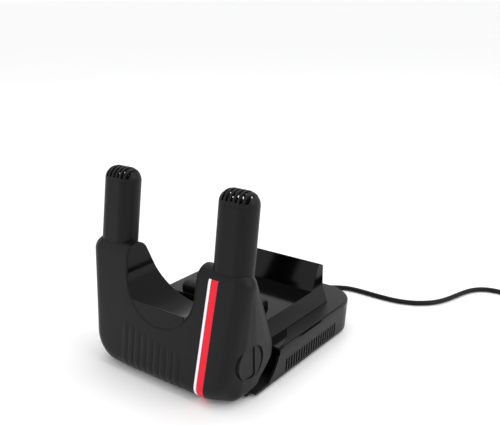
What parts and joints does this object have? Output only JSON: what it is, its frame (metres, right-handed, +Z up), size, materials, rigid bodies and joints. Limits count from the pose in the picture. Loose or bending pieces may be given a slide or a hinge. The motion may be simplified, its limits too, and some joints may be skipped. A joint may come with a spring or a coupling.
{
  "type": "boot dryer",
  "caption": "Folding warm-air boot dryer: a low base with a raised gloss cover and a leaning two-armed tower whose nozzles blow into a pair of boots.",
  "frame": {"origin": "on the floor under the middle of the standing dryer's footprint, cord left out", "axes": "+Z up, the front faces -Y, and +X is to the right of someone who looks at the front, on the striped side"},
  "size_m": [0.397, 0.5179, 0.1981],
  "materials": {
    "satin_shell": "satin",
    "base_grey": "satin",
    "gloss_black": "gloss",
    "dark_inner": "matte",
    "silver_trim": "satin",
    "red_trim": "satin",
    "foot_rubber": "matte",
    "steel_screw": "satin",
    "pin_steel": "polished",
    "washer_white": "matte",
    "board_green": "satin",
    "wheel_white": "matte",
    "motor_steel": "satin",
    "heater_ceramic": "matte",
    "cord_rubber": "satin",
    "tie_grey": "matte",
    "blade_brass": "satin",
    "switch_red": "gloss"
  },
  "bodies": {
    "base": {"base_tray": "base_grey", "wing_cover": "base_grey", "rim_band": "gloss_black", "centre_cover": "gloss_black", "heel_rest_left": "satin_shell", "heel_rest_right": "satin_shell", "base_feet": "foot_rubber", "base_screws": "steel_screw", "hinge_bracket_left": "dark_inner", "hinge_bracket_right": "dark_inner", "bracket_screws": "steel_screw", "hinge_pin_left": "pin_steel", "hinge_pin_right": "pin_steel", "hinge_washer_left": "washer_white", "hinge_washer_right": "washer_white", "control_board": "board_green", "switch_body": "gloss_black", "strain_relief": "cord_rubber", "power_cord": "cord_rubber", "cord_coil": "cord_rubber", "cord_tie": "tie_grey", "plug_body": "cord_rubber", "plug_pins": "blade_brass"},
    "tower": {"tower_front_shell": "satin_shell", "tower_rear_shell": "satin_shell", "tunnel_liner": "gloss_black", "stripe_silver": "silver_trim", "stripe_red": "red_trim", "tower_screws": "steel_screw", "hinge_hub_left": "satin_shell", "hinge_hub_right": "satin_shell", "blower_scroll": "dark_inner", "fan_motor": "motor_steel", "air_duct_left": "dark_inner", "air_duct_right": "dark_inner", "heater_left": "heater_ceramic", "heater_right": "heater_ceramic", "thermal_cutout": "washer_white", "nozzle_left": "satin_shell", "nozzle_right": "satin_shell", "outlet_grille_left": "satin_shell", "outlet_grille_right": "satin_shell"},
    "fan": {"fan_wheel": "wheel_white"},
    "rocker": {"switch_rocker": "switch_red"}
  },
  "joints": [
    {"name": "tower_fold", "type": "hinge", "parent": "base", "child": "tower", "pos_m": [0, -0.088, 0.041], "axis": [-1, 0, 0], "range_deg": [0, 52]},
    {"name": "fan_spin", "type": "hinge", "parent": "tower", "child": "fan", "pos_m": [0, -0.0865, 0.03], "axis": [0, 0, 1], "continuous": true},
    {"name": "rocker_tilt", "type": "hinge", "parent": "base", "child": "rocker", "pos_m": [-0.038, 0.112, 0.017], "axis": [1, 0, 0], "range_deg": [-8, 8]}
  ]
}
